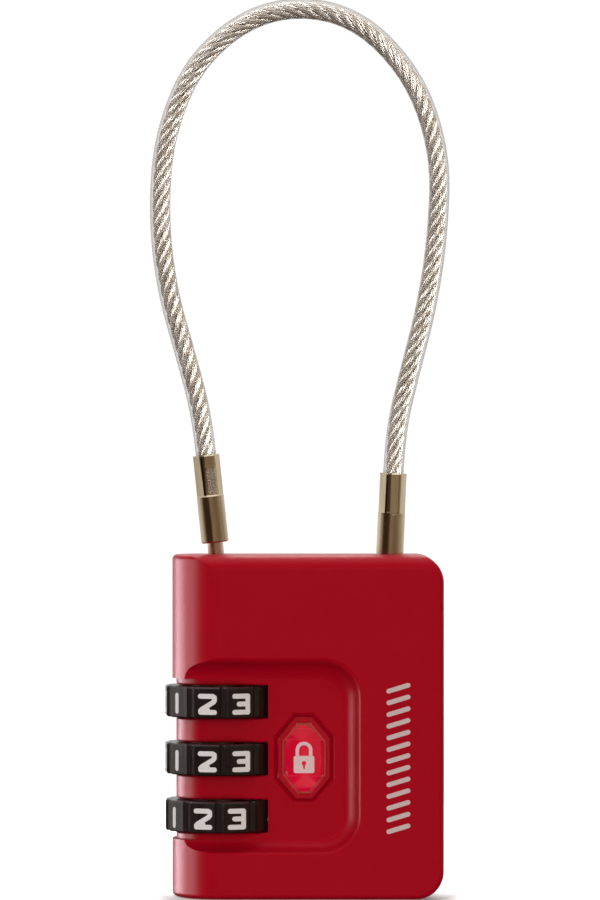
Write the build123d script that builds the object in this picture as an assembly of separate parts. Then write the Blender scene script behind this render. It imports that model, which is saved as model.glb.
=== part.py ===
from build123d import *
import math
import os

# Three-dial cable luggage lock with a master-key cylinder. Millimetres.
# Frame: X to the right as seen from the front, -Y is the front, +Z up.
# Origin: centre of the flat base of the housing.

# ---------------------------------------------------------------- driving sizes
BODY_W = 31.7            # housing, left to right
BODY_H = 40.0            # housing, base to top
BODY_T = 11.0            # housing, front to back
X0, X1 = -BODY_W / 2, BODY_W / 2
YT = BODY_T / 2
XA = X0 + YT             # centre of the half-round left side
CORNER_R = 3.2           # the two right-hand corners
EDGE_R = 0.55            # rounding round the front and back faces
TOP_R = 1.80             # fuller rounding along the front and back top edges
SEAM = 0.05              # hairline between the two castings

WAIST_Y = 3.78           # half thickness of the waist that the dials stand in
WAIST_XA = -11.60        # centre of the half-round left side of the waist
RIM_X, RIM_Z0, RIM_Z1, RIM_R = 6.03, 5.44, 27.66, 4.3          # waist outline at the face
FLOOR_X, FLOOR_Z0, FLOOR_Z1, FLOOR_R = 4.48, 6.55, 25.90, 3.1  # waist outline at its floor

DIAL_X = -10.20          # dial and spindle axis
DIAL_Z = (22.87, 16.21, 9.55)
DIAL_NAMES = ("top", "middle", "bottom")
DIAL_FLAT = 6.40         # axis to a number flat
DIAL_R = 6.56            # largest radius of a dial
DIAL_H = 3.60
DIAL_THREE = (23.2, 23.2, 18.4)   # angle from the front to the flat of the number 3, degrees
SLOT_H = 3.82            # slot in the housing for one dial
SLOT_R = 6.76
BORE_FLAT = 4.25         # ten-sided bore of a dial, axis to flat
SLEEVE_FLAT = 4.19
HUB_R, HUB_HALF = 2.82, 2.90
HUB_BORE = 2.90
SLEEVE_IN = 2.00
WEB_IN, WEB_HALF = 1.22, 0.45
NOTCH_W = 1.16

SHAFT_R = 1.10
JOURNAL_R = 1.17
SHAFT_Z0, SHAFT_Z1, SHAFT_TOP = 5.40, 29.10, 30.30
FIN_R, FIN_W, FIN_LO, FIN_HI = 1.85, 0.90, 0.60, 1.40
SPINDLE_TRAVEL = 2.0

LATCH_Z0, LATCH_Z1 = 33.20, 34.00
FINGER_X = -6.20         # finger centre at the height of the latch plate
FINGER_SLOPE = 0.5       # sideways shift per unit of height
FINGER_HALF = 0.50
LEG_X0, LEG_X1 = 5.20, 6.00
FOOT_Z0, FOOT_Z1 = 15.80, 16.60

STUD_X, STUD_R, STUD_BORE = -10.70, 0.93, 1.00
STUD_TIP, GROOVE_Z0, GROOVE_Z1, GROOVE_R = 31.50, 33.00, 35.30, 0.50
CRANK_Z = 40.05
FREE_TILT = -5.97        # free ferrule leans to the left
FREE_BASE = (-10.84, 0.0, 41.37)
FREE_LEN = 10.30
FIX_TILT = 2.57          # fixed ferrule leans to the right
FIX_BASE = (9.66, 0.0, 40.10)
FIX_UP, FIX_DOWN = 9.41, 7.20
FERRULE_R, CRIMP_FLAT, CRIMP_R = 1.60, 1.41, 1.56

ROPE_R = 0.92            # stranded steel rope
JACKET_IN, JACKET_R = 0.97, 1.215   # clear jacket

KEY_X = 9.45
BADGE = (-0.41, 16.34)
BADGE_W, BADGE_H = 6.17, 9.55

RIVETS_MAIN = ((1.50, 37.30), (13.20, 24.50))     # through the full thickness
RIVETS_WAIST = ((1.40, 9.30), (1.40, 23.70))      # through the waist


# ---------------------------------------------------------------- helpers
def box(x0, x1, y0, y1, z0, z1):
    return Pos((x0 + x1) / 2, (y0 + y1) / 2, (z0 + z1) / 2) * Box(x1 - x0, y1 - y0, z1 - z0)


def cyl_z(x, y, r, z0, z1):
    return Pos(x, y, (z0 + z1) / 2) * Cylinder(r, z1 - z0)


def cyl_y(x, z, r, y0, y1):
    return Pos(x, (y0 + y1) / 2, z) * Rot(90, 0, 0) * Cylinder(r, y1 - y0)


def cyl_x(y, z, r, x0, x1):
    return Pos((x0 + x1) / 2, y, z) * Rot(0, 90, 0) * Cylinder(r, x1 - x0)


def one_solid(shape):
    s = shape.solids()
    assert len(s) == 1, f"{len(s)} solids"
    return s[0]


def half_round(xc, r, x1):
    arc = ThreePointArc((xc, r), (xc - r, 0), (xc, -r))
    rest = Polyline((xc, -r), (x1, -r), (x1, r), (xc, r))
    return make_face([*arc.edges(), *rest.edges()])


def xz_plane(y):
    return Plane(origin=(0, y, 0), x_dir=(1, 0, 0), z_dir=(0, -1, 0))


def waist_outline(y, x1, z0, z1, r):
    f = Pos((-24 + x1) / 2, (z0 + z1) / 2) * Rectangle(x1 + 24, z1 - z0)
    right = f.vertices().sort_by(Axis.X)[-2:]
    return xz_plane(y) * fillet(right, r)


def ten_sided(flat, height, first=0.0):
    """A ten-sided prism, centred, with one flat facing `first` degrees from the front towards the right."""
    s = RegularPolygon(flat, 10, major_radius=False)
    p = extrude(s, height / 2, both=True)
    # a flat of the polygon faces 18 degrees from +X after this turn; -Y is at -90 degrees
    best = min(p.faces().filter_by(lambda f: abs(f.normal_at().Z) < 0.1),
               key=lambda f: abs(math.atan2(f.normal_at().Y, f.normal_at().X)))
    have = math.degrees(math.atan2(best.normal_at().Y, best.normal_at().X))
    return Rot(0, 0, first - 90 - have) * p


def coil(radius, wire, length, turns):
    """A helical spring along +Z from 0 to its length."""
    path = Helix(pitch=(length - wire) / turns, height=length - wire, radius=radius)
    start = path @ 0
    prof = Plane(origin=start, z_dir=path % 0) * Circle(wire / 2)
    return Pos(0, 0, wire / 2) * sweep(prof, path=path, is_frenet=True)


def one(shape):
    """The single solid of a shape."""
    return one_solid(shape)


parts = {}


# ---------------------------------------------------------------- housing
outer = extrude(half_round(XA, YT, X1), BODY_H)
right = outer.edges().filter_by(Axis.Y).sort_by(Axis.X)[-2:]
outer = fillet(right, CORNER_R)
rim = [e for e in outer.edges()
       if not (abs(e.center().X - XA) < 0.01 and abs(abs(e.center().Y) - YT) < 0.01
               and abs(e.length - BODY_H) < 0.2)]
rim = [e for e in rim if not (e.center().X > X1 - CORNER_R - 0.1 and abs(e.center().Y) < 0.01)]
outer = fillet(rim, EDGE_R)
# the wall runs down to the floor in a concave sweep: (share of the depth, share of the inset)
WALL = ((0.00, -0.24), (0.05, -0.08), (0.13, 0.03), (0.26, 0.13), (0.42, 0.23), (0.57, 0.35), (0.70, 0.49),
        (0.81, 0.64), (0.90, 0.81), (0.96, 0.98), (1.00, 1.20))


def wall_outline(depth, inset):
    def mid(a, b):
        return a + (b - a) * inset
    return waist_outline(-YT + depth * (YT - WAIST_Y), mid(RIM_X, FLOOR_X), mid(RIM_Z0, FLOOR_Z0),
                         mid(RIM_Z1, FLOOR_Z1), mid(RIM_R, FLOOR_R))


levels = [wall_outline(d, i) for d, i in WALL]
front_cut = extrude(levels[0], 2.0)
for lo, hi in zip(levels, levels[1:]):
    front_cut += loft([lo, hi], ruled=True)
middle_cut = box(-24, WAIST_XA + 2.0, -WAIST_Y - 0.01, WAIST_Y + 0.01, FLOOR_Z0 + 0.222, FLOOR_Z1 - 0.352)
waist = Pos(0, 0, -5) * extrude(half_round(WAIST_XA, WAIST_Y, X1 + 5), 60)
cut = front_cut + mirror(front_cut, about=Plane.XZ) + middle_cut - waist
outer = outer - cut
for z in DIAL_Z:
    outer = outer - cyl_z(DIAL_X, 0, SLOT_R, z - SLOT_H / 2, z + SLOT_H / 2)
for z in DIAL_Z:
    for h in (z - SLOT_H / 2, z + SLOT_H / 2):
        lips = [e for e in outer.edges() if abs(e.center().Z - h) < 0.01 and abs(e.tangent_at(0.5).Z) < 0.01
                and e.center().X < -4 and (abs(abs(e.center().Y) - WAIST_Y) < 0.02 or
                     (e.center().X < WAIST_XA and abs(math.hypot(e.center().X - WAIST_XA, e.center().Y) - WAIST_Y) < 0.02))]
        try:
            outer = fillet(lips, 0.28)
        except Exception as err:
            print("slot lip left sharp:", round(h, 2), type(err).__name__, len(lips))

# the front and back top edges are rounded more fully, right across the housing
bend = TOP_R * (1 - math.cos(math.pi / 4))
crown_arc = ThreePointArc((YT, BODY_H - TOP_R), (YT - bend, BODY_H - bend), (YT - TOP_R, BODY_H))
crown_rest = Polyline((YT - TOP_R, BODY_H), (0, BODY_H), (0, -1), (YT, -1), (YT, BODY_H - TOP_R))
crown_half = make_face([*crown_arc.edges(), *crown_rest.edges()])
crown_plane = Plane(origin=(X0 - 1, 0, 0), x_dir=(0, 1, 0), z_dir=(1, 0, 0))
crown = extrude(crown_plane * crown_half, X1 + 1 - (X0 - 1))
crown = crown + mirror(crown, about=Plane.XZ)
outer = one_solid(outer - (box(-30, 30, -20, 20, BODY_H - TOP_R, BODY_H + 1) - crown))

inside = []
for z in DIAL_Z:
    inside.append(cyl_z(DIAL_X, 0, SLOT_R, z - SLOT_H / 2, z + SLOT_H / 2))
inside.append(cyl_z(DIAL_X, 0, HUB_BORE, 6.60, 25.80))
inside.append(cyl_z(DIAL_X, 0, JOURNAL_R, 4.50, 28.00))          # spindle journals
inside.append(cyl_z(DIAL_X, 0, 1.80, 1.25, 4.95))                # reset spring chamber
inside.append(cyl_z(DIAL_X, 0, 1.08, -1.0, 2.0))                 # reset button hole
inside.append(box(-3.90, -2.30, -1.70, 1.70, 6.90, 25.50))       # detent spring channel
inside.append(box(-12.2, -2.90, -2.60, 2.60, 27.00, 30.60))      # spindle arm chamber
inside.append(box(-8.70, -2.90, -2.60, 2.60, 30.00, 37.00))      # finger chamber
inside.append(box(-10.95, 6.30, -2.15, 2.15, 33.05, 34.15))      # latch plate
inside.append(box(3.95, 6.30, -2.40, 2.40, 15.40, 34.15))        # latch plate leg
inside.append(box(3.95, 6.60, -2.40, 2.40, 15.40, 17.25))        # latch plate foot
inside.append(box(6.30, 13.40, -2.20, 3.80, 15.40, 17.25))
inside.append(cyl_z(KEY_X, 0, 3.54, 1.25, 14.60))                # key cylinder
inside.append(cyl_z(KEY_X, 0, 2.25, -1.0, 2.0))                  # key plug face
inside.append(cyl_z(KEY_X, 0, 2.60, 14.0, 15.8))                 # crank
inside.append(cyl_x(0, 28.50, 1.10, 6.0, 9.65))                  # latch spring
inside.append(cyl_z(STUD_X, 0, STUD_BORE, 30.0, 41.0))           # stud bore
inside.append(Pos(STUD_X, 0, 39.85) * Cone(STUD_BORE, STUD_BORE + 0.30, 0.50))
fix_at = Pos(*FIX_BASE) * Rot(0, FIX_TILT, 0)
inside.append(fix_at * cyl_z(0, 0, FERRULE_R + 0.07, -FIX_DOWN - 0.1, 1.0))
inside.append(fix_at * cyl_z(0, 0, 2.70, -6.30, -5.20))          # anchor clip
inside.append(box(-1.60, 3.20, -2.60, 2.60, 11.20, 21.80))       # lightening pockets
inside.append(box(-1.60, 3.20, -2.60, 2.60, 26.20, 32.20))
inside.append(box(-7.60, 4.60, -4.20, 4.20, 1.25, 4.90))
inside.append(box(7.40, 14.40, -4.30, 4.30, 18.20, 27.00) - cyl_y(13.20, 24.50, 1.75, -9, 9))
inside.append(box(-1.60, 5.60, -4.30, 4.30, 35.20, 38.70) - cyl_y(1.50, 37.30, 1.75, -9, 9))

RIVET_R, HEAD_R, HEAD_H = 0.80, 1.40, 0.55
rivets, rivet_holes = [], []
for x, z in RIVETS_MAIN:
    rivets.append(cyl_y(x, z, RIVET_R, -4.20, YT - 0.05) + cyl_y(x, z, HEAD_R, YT - HEAD_H, YT - 0.05))
    rivet_holes += [cyl_y(x, z, RIVET_R + 0.02, -4.30, YT + 1), cyl_y(x, z, HEAD_R + 0.03, YT - HEAD_H - 0.02, YT + 1)]
for x, z in RIVETS_WAIST:
    rivets.append(cyl_y(x, z, RIVET_R, -2.90, WAIST_Y - 0.05) + cyl_y(x, z, HEAD_R, WAIST_Y - HEAD_H, WAIST_Y - 0.05))
    rivet_holes += [cyl_y(x, z, RIVET_R + 0.02, -2.95, WAIST_Y + 1), cyl_y(x, z, HEAD_R + 0.03, WAIST_Y - HEAD_H - 0.02, WAIST_Y + 1)]
rivets = [chamfer(r.edges().filter_by(GeomType.CIRCLE).sort_by(Axis.Y)[-1:], 0.15) for r in rivets]
parts["housing_rivets"] = Compound(children=[one(r) for r in rivets])


def octagon(w, h, cut_x, cut_z, y0, y1):
    pts = [(-w / 2, -h / 2 + cut_z), (-w / 2, h / 2 - cut_z), (-w / 2 + cut_x, h / 2), (w / 2 - cut_x, h / 2),
           (w / 2, h / 2 - cut_z), (w / 2, -h / 2 + cut_z), (w / 2 - cut_x, -h / 2), (-w / 2 + cut_x, -h / 2)]
    f = make_face(Polyline(*pts, close=True).edges())
    return extrude(xz_plane(y1) * Pos(*BADGE) * f, y1 - y0)


def octagon_face(w, h, cut_x, cut_z, y):
    pts = [(-w / 2, -h / 2 + cut_z), (-w / 2, h / 2 - cut_z), (-w / 2 + cut_x, h / 2), (w / 2 - cut_x, h / 2),
           (w / 2, h / 2 - cut_z), (w / 2, -h / 2 + cut_z), (w / 2 - cut_x, -h / 2), (-w / 2 + cut_x, -h / 2)]
    return xz_plane(y) * Pos(*BADGE) * make_face(Polyline(*pts, close=True).edges())


# the badge sits in a bevelled seat and has a raised rim round its enamel
badge_hole = octagon(BADGE_W + 0.08, BADGE_H + 0.08, 2.12, 2.52, -6.0, -3.30)
badge_hole += loft([octagon_face(BADGE_W + 0.95, BADGE_H + 1.05, 2.34, 2.78, -WAIST_Y - 0.02),
                    octagon_face(BADGE_W + 0.08, BADGE_H + 0.08, 2.12, 2.52, -3.42)], ruled=True)
badge_hole += extrude(octagon_face(BADGE_W + 0.95, BADGE_H + 1.05, 2.34, 2.78, -WAIST_Y - 0.02), 1.5)
badge = octagon(BADGE_W, BADGE_H, 2.10, 2.50, -3.92, -3.32)
badge = chamfer(badge.faces().sort_by(Axis.Y)[0].edges(), 0.14)
badge = badge - octagon(BADGE_W - 0.90, BADGE_H - 1.05, 1.86, 2.22, -5.0, -3.80)
parts["badge_plate"] = one(badge)

hollow = outer
for c in inside:
    hollow = hollow - c
for c in rivet_holes:
    hollow = hollow - c
# the two castings meet with a hairline seam
parts["front_shell"] = one((hollow & box(-30, 30, -20, -SEAM / 2, -5, 50)) - badge_hole)
parts["rear_shell"] = one(hollow & box(-30, 30, SEAM / 2, 20, -5, 50))

# ---------------------------------------------------------------- dials and clutch sleeves
for name, z, three in zip(DIAL_NAMES, DIAL_Z, DIAL_THREE):
    d = ten_sided(DIAL_FLAT, DIAL_H, three)
    d = d - ten_sided(BORE_FLAT, DIAL_H + 1, three)
    for i in range(10):
        a = math.radians(three + 18 + 36 * i - 90)
        gx, gy = math.cos(a), math.sin(a)
        # a shallow finger groove where two number flats meet
        d = d - cyl_z((DIAL_R + 0.22) * gx, (DIAL_R + 0.22) * gy, 0.62, -DIAL_H, DIAL_H)
    rims = [e for e in d.edges() if abs(abs(e.center().Z) - DIAL_H / 2) < 0.01
            and math.hypot(e.center().X, e.center().Y) > 5.6]
    try:
        d = chamfer(rims, 0.16)
        print("dial rims chamfered")
    except Exception as err:
        print("dial rims left sharp:", type(err).__name__)
    parts["number_dial_" + name] = one(Pos(DIAL_X, 0, z) * d)

    s = Cylinder(HUB_R, 2 * HUB_HALF) + ten_sided(SLEEVE_FLAT, 3.2, three)
    s = s - cyl_z(0, 0, SLEEVE_IN, WEB_HALF, 5) - cyl_z(0, 0, SLEEVE_IN, -5, -WEB_HALF)
    s = s - Cylinder(WEB_IN, 8)
    s = s - box(-SLEEVE_IN + 0.02, 0, -NOTCH_W / 2, NOTCH_W / 2, -1, 1)
    parts["clutch_sleeve_" + name] = one(Pos(DIAL_X, 0, z) * s)

# ---------------------------------------------------------------- spindle, finger, clip
sp = cyl_z(0, 0, SHAFT_R, SHAFT_Z0, SHAFT_Z1) + cyl_z(0, 0, 0.75, SHAFT_Z1, SHAFT_TOP)
for z in DIAL_Z:
    sp = sp + box(-FIN_R, 0, -FIN_W / 2, FIN_W / 2, z + FIN_LO, z + FIN_HI)
parts["spindle"] = one(Pos(DIAL_X, 0, 0) * sp)


def finger_bar(half, z0, z1, y):
    def xc(z):
        return FINGER_X + FINGER_SLOPE * ((LATCH_Z0 + LATCH_Z1) / 2 - z)
    pts = [(xc(z0) - half, z0), (xc(z0) + half, z0), (xc(z1) + half, z1), (xc(z1) - half, z1)]
    return extrude(xz_plane(0) * make_face(Polyline(*pts, close=True).edges()), y, both=True)


arm_end = FINGER_X + FINGER_SLOPE * ((LATCH_Z0 + LATCH_Z1) / 2 - 29.12)
arm = cyl_z(DIAL_X, 0, 1.60, 29.12, 29.92) + box(DIAL_X, arm_end, -1.0, 1.0, 29.12, 29.92)
arm = arm + finger_bar(FINGER_HALF, 29.12, 36.60, 0.60)
arm = arm - cyl_z(DIAL_X, 0, 0.77, 28, 31)
parts["latch_finger"] = one(arm)
clip = cyl_z(DIAL_X, 0, 1.35, 29.95, 30.20) - cyl_z(DIAL_X, 0, 0.76, 29, 31) - box(DIAL_X, DIAL_X + 2, -0.45, 0.45, 29, 31)
parts["spindle_clip"] = one(clip)

# ---------------------------------------------------------------- latch plate
lp = box(-8.00, LEG_X1, -2.0, 2.0, LATCH_Z0, LATCH_Z1) + box(-9.45, -7.9, -1.1, 1.1, LATCH_Z0, LATCH_Z1)
lp = lp + box(LEG_X0, LEG_X1, -2.0, 2.0, FOOT_Z0, LATCH_Z1)
lp = lp + box(LEG_X0, 8.00, -2.0, 2.0, FOOT_Z0, FOOT_Z1) + box(7.50, 12.90, -1.9, 3.3, FOOT_Z0, FOOT_Z1)
lp = lp - box(8.20, 11.70, -1.05, 2.35, 15, 18)
lp = lp - cyl_z(-9.70, 0, 0.62, 33, 35)
lp = lp - finger_bar(FINGER_HALF + 0.06, 32.5, 34.7, 0.70)
lp = lp - box(-4.2, 3.6, -1.0, 1.0, 33, 35)
parts["latch_plate"] = one(lp)
parts["latch_spring"] = one(Pos(6.05, 0, 28.50) * Rot(0, 90, 0) * coil(0.82, 0.28, 3.50, 5))

# detent leaf with three pressed bumps
leaf = box(-2.75, -2.50, -1.45, 1.45, 7.20, 25.20)
for z in DIAL_Z:
    leaf = leaf + (cyl_y(-2.75, z, 0.80, -1.30, 1.30) & box(-4, -2.6, -2, 2, 0, 40))
parts["detent_spring"] = one(leaf)

# ---------------------------------------------------------------- locking stud and ferrules
free_at = Pos(*FREE_BASE) * Rot(0, FREE_TILT, 0)
stud = cyl_z(STUD_X, 0, STUD_R, STUD_TIP, CRANK_Z)
stud = stud - (cyl_z(STUD_X, 0, 3, GROOVE_Z0, GROOVE_Z1) - cyl_z(STUD_X, 0, GROOVE_R, 30, 38))
stud = stud - (cyl_z(STUD_X, 0, 3, STUD_TIP - 1, STUD_TIP + 0.35)
               - Pos(STUD_X, 0, STUD_TIP + 0.175) * Cone(STUD_R - 0.35, STUD_R, 0.35))
crank_at = Pos(STUD_X, 0, CRANK_Z) * Rot(0, FREE_TILT, 0)
stud = stud + Pos(STUD_X, 0, CRANK_Z) * Sphere(STUD_R) + crank_at * cyl_z(0, 0, STUD_R, 0, 3.40)
parts["locking_stud"] = one(stud)


def ferrule(z0, z1, step, first):
    low = cyl_z(0, 0, FERRULE_R, z0, step)
    flats = Rot(0, 0, first) * extrude(RegularPolygon(CRIMP_FLAT, 6, major_radius=False), 30, both=True)
    up = cyl_z(0, 0, CRIMP_R, step, z1) & flats
    f = low + up
    return f


ff = ferrule(0, FREE_LEN, 5.46, 8)
ff = ff - cyl_z(0, 0, ROPE_R + 0.02, FREE_LEN - 5.0, FREE_LEN + 1)
ends = [e for e in ff.edges() if abs(e.center().Z) < 0.01]
ff = chamfer(ends, 0.14)
ff = one(free_at * ff) - crank_at * cyl_z(0, 0, STUD_R + 0.01, -1, 3.42)
parts["free_ferrule"] = one(ff)

xf = ferrule(-FIX_DOWN, FIX_UP, 4.72, 2)
xf = xf - cyl_z(0, 0, ROPE_R + 0.02, FIX_UP - 5.0, FIX_UP + 1)
xf = xf - (cyl_z(0, 0, 3, -6.15, -5.35) - cyl_z(0, 0, 1.10, -8, 0))
parts["fixed_ferrule"] = one(fix_at * xf)
cl = cyl_z(0, 0, 2.60, -6.10, -5.40) - cyl_z(0, 0, 1.14, -8, 0) - box(-1.14, 1.14, 0, 4, -8, 0)
parts["anchor_clip"] = one(fix_at * cl)

# ---------------------------------------------------------------- cable: rope and clear jacket
# Route from the mouth of the free ferrule to the mouth of the fixed one, in the plane Y = 0.
free_mouth = free_at * Pos(0, 0, FREE_LEN)
fix_mouth = fix_at * Pos(0, 0, FIX_UP)
A = free_mouth.position
B = fix_mouth.position
UP_A = Vector(math.sin(math.radians(FREE_TILT)), 0, math.cos(math.radians(FREE_TILT)))
UP_B = Vector(math.sin(math.radians(FIX_TILT)), 0, math.cos(math.radians(FIX_TILT)))
MIDDLE = [(-16.40, 70.15), (-17.35, 80.00), (-16.75, 89.40), (-12.95, 98.30), (-4.90, 104.00), (4.85, 103.40),
          (12.20, 96.60), (15.50, 87.20), (15.35, 77.60), (14.05, 67.60)]
ROUTE = [A, A + UP_A * 9.2] + [Vector(x, 0, z) for x, z in MIDDLE] + [B + UP_B * 8.2, B]
radii = []
for p, q, r in zip(ROUTE, ROUTE[1:], ROUTE[2:]):
    a, b = q - p, r - q
    turn = a.get_angle(b)
    radii.append(0.45 * min(a.length, b.length) / math.tan(math.radians(turn) / 2))
print("route", [(round(p.X, 3), round(p.Z, 3)) for p in ROUTE])
print("runs", [round((q - p).length, 2) for p, q in zip(ROUTE, ROUTE[1:])])
print("radii", [round(r, 1) for r in radii])
path = FilletPolyline(*[(p.X, p.Y, p.Z) for p in ROUTE], radius=radii)
print("cable length", round(path.length, 2))
at = Plane(origin=A, z_dir=UP_A)
rope = sweep(at * Circle(ROPE_R), path=path)
jacket = sweep(at * (Circle(JACKET_R) - Circle(JACKET_IN)), path=path)
print("rope volume", round(rope.volume, 3), "section x length", round(math.pi * ROPE_R**2 * path.length, 3))
print("jacket volume", round(jacket.volume, 3), "section x length",
      round(math.pi * (JACKET_R**2 - JACKET_IN**2) * path.length, 3))
rope = rope + free_at * cyl_z(0, 0, ROPE_R, FREE_LEN - 4.9, FREE_LEN) + fix_at * cyl_z(0, 0, ROPE_R, FIX_UP - 4.9, FIX_UP)
parts["wire_rope"] = one(rope)
parts["cable_jacket"] = one(jacket)

# ---------------------------------------------------------------- key cylinder
ks = cyl_z(KEY_X, 0, 3.50, 1.30, 14.50) - cyl_z(KEY_X, 0, 2.55, 0, 13.95) - cyl_z(KEY_X, 0, 1.60, 13, 16)
ks = ks - box(KEY_X - 1.5, KEY_X + 1.5, 2.0, 3.05, 2.2, 11.2) - box(KEY_X - 1.5, KEY_X + 1.5, -3.05, -2.0, 2.2, 11.2)
parts["key_cylinder"] = one(ks)
WAFER_Z = (3.4, 5.4, 7.4, 9.4)
kp = cyl_z(KEY_X, 0, 2.50, 1.35, 13.90) + cyl_z(KEY_X, 0, 2.18, 0.05, 1.35) + cyl_z(KEY_X, 0, 1.52, 13.9, 14.60)
kp = kp + box(KEY_X - 0.95, KEY_X + 0.95, -0.95, 0.95, 14.5, 15.20)
kp = kp - box(KEY_X - 0.45, KEY_X + 0.45, -1.55, 1.55, -1, 11.5)
for z in WAFER_Z:
    kp = kp - box(KEY_X - 1.35, KEY_X + 1.35, -3, 3, z - 0.35, z + 0.35)
kp = kp - cyl_z(KEY_X, 0, 0.42, 12.5, 16)
parts["key_plug"] = one(kp)
wafers = []
for i, z in enumerate(WAFER_Z):
    lift = (0.15, -0.20, 0.05, -0.10)[i]
    w = box(KEY_X - 1.28, KEY_X + 1.28, -1.98, 1.98, z - 0.29, z + 0.29)
    w = w - box(KEY_X - 0.60, KEY_X + 0.60, -1.15 + lift, 1.15 + lift, z - 1, z + 1)
    wafers.append(one(w))
parts["key_wafers"] = Compound(children=wafers)
kc = cyl_z(KEY_X, 0, 2.30, 14.65, 15.20) + cyl_z(KEY_X, 1.60, 0.60, 15.0, 17.0)
kc = kc - box(KEY_X - 0.97, KEY_X + 0.97, -0.97, 0.97, 14, 15.4)
parts["key_crank"] = one(kc)
ksc = cyl_z(KEY_X, 0, 0.40, 12.8, 15.25) + cyl_z(KEY_X, 0, 0.72, 15.22, 15.75)
ksc = ksc - box(KEY_X - 2, KEY_X + 2, -0.12, 0.12, 15.55, 16)
parts["crank_screw"] = one(ksc)

# ---------------------------------------------------------------- reset button
rb = cyl_z(DIAL_X, 0, 1.00, 0.05, 1.40) + cyl_z(DIAL_X, 0, 1.62, 1.33, 1.93)
rb = rb - box(DIAL_X - 0.8, DIAL_X + 0.8, -0.15, 0.15, -1, 0.40)
parts["reset_button"] = one(rb)
parts["reset_spring"] = one(Pos(DIAL_X, 0, 1.98) * coil(1.40, 0.26, 2.90, 4))

os.makedirs("parts", exist_ok=True)
for name, shape in parts.items():
    shape.label = name
    export_step(shape, f"parts/{name}.step")
    b = shape.bounding_box()
    print(f"{name:24s} {len(shape.solids())} {shape.volume:9.3f}  {b.min.X:7.2f} {b.max.X:7.2f} {b.min.Y:7.2f} {b.max.Y:7.2f} {b.min.Z:7.2f} {b.max.Z:7.2f}")
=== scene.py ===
import math

import bmesh
import bpy
import numpy as np
from mathutils import Matrix, Vector


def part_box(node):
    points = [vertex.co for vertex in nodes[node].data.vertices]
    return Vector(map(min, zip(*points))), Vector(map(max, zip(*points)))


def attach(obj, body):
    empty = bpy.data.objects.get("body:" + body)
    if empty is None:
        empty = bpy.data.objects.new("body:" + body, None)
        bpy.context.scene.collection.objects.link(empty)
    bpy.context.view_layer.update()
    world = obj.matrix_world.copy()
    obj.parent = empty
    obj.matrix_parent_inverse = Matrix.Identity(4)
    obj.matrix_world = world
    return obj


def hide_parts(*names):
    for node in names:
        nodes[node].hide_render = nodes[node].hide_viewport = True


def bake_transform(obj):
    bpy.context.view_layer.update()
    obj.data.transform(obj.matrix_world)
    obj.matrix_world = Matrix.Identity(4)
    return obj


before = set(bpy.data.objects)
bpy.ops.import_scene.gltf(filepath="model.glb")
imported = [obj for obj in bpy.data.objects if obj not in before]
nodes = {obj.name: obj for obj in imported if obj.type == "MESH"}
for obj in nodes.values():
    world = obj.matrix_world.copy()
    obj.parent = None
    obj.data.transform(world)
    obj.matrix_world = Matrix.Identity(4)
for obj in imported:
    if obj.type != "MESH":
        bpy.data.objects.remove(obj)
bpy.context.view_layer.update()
scene = bpy.context.scene
MM = 0.001


def lo_hi(node):
    a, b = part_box(node)
    return Vector(a), Vector(b)


# ------------------------------------------------------------------ camera
cam_data = bpy.data.cameras.new("camera")
cam = bpy.data.objects.new("camera", cam_data)
scene.collection.objects.link(cam)
cam.location = (-0.000878, -0.51636, 0.05222)
cam.rotation_euler = (math.radians(90), 0, 0)
cam_data.lens = 176.0
cam_data.sensor_width = 36.0
cam_data.sensor_fit = "AUTO"
cam_data.clip_start = 0.01
cam_data.clip_end = 20
cam_data.dof.use_dof = False
scene.camera = cam
scene.view_settings.view_transform = "Standard"
scene.view_settings.look = "None"
scene.view_settings.exposure = 0.0
scene.view_settings.gamma = 1.0


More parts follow.
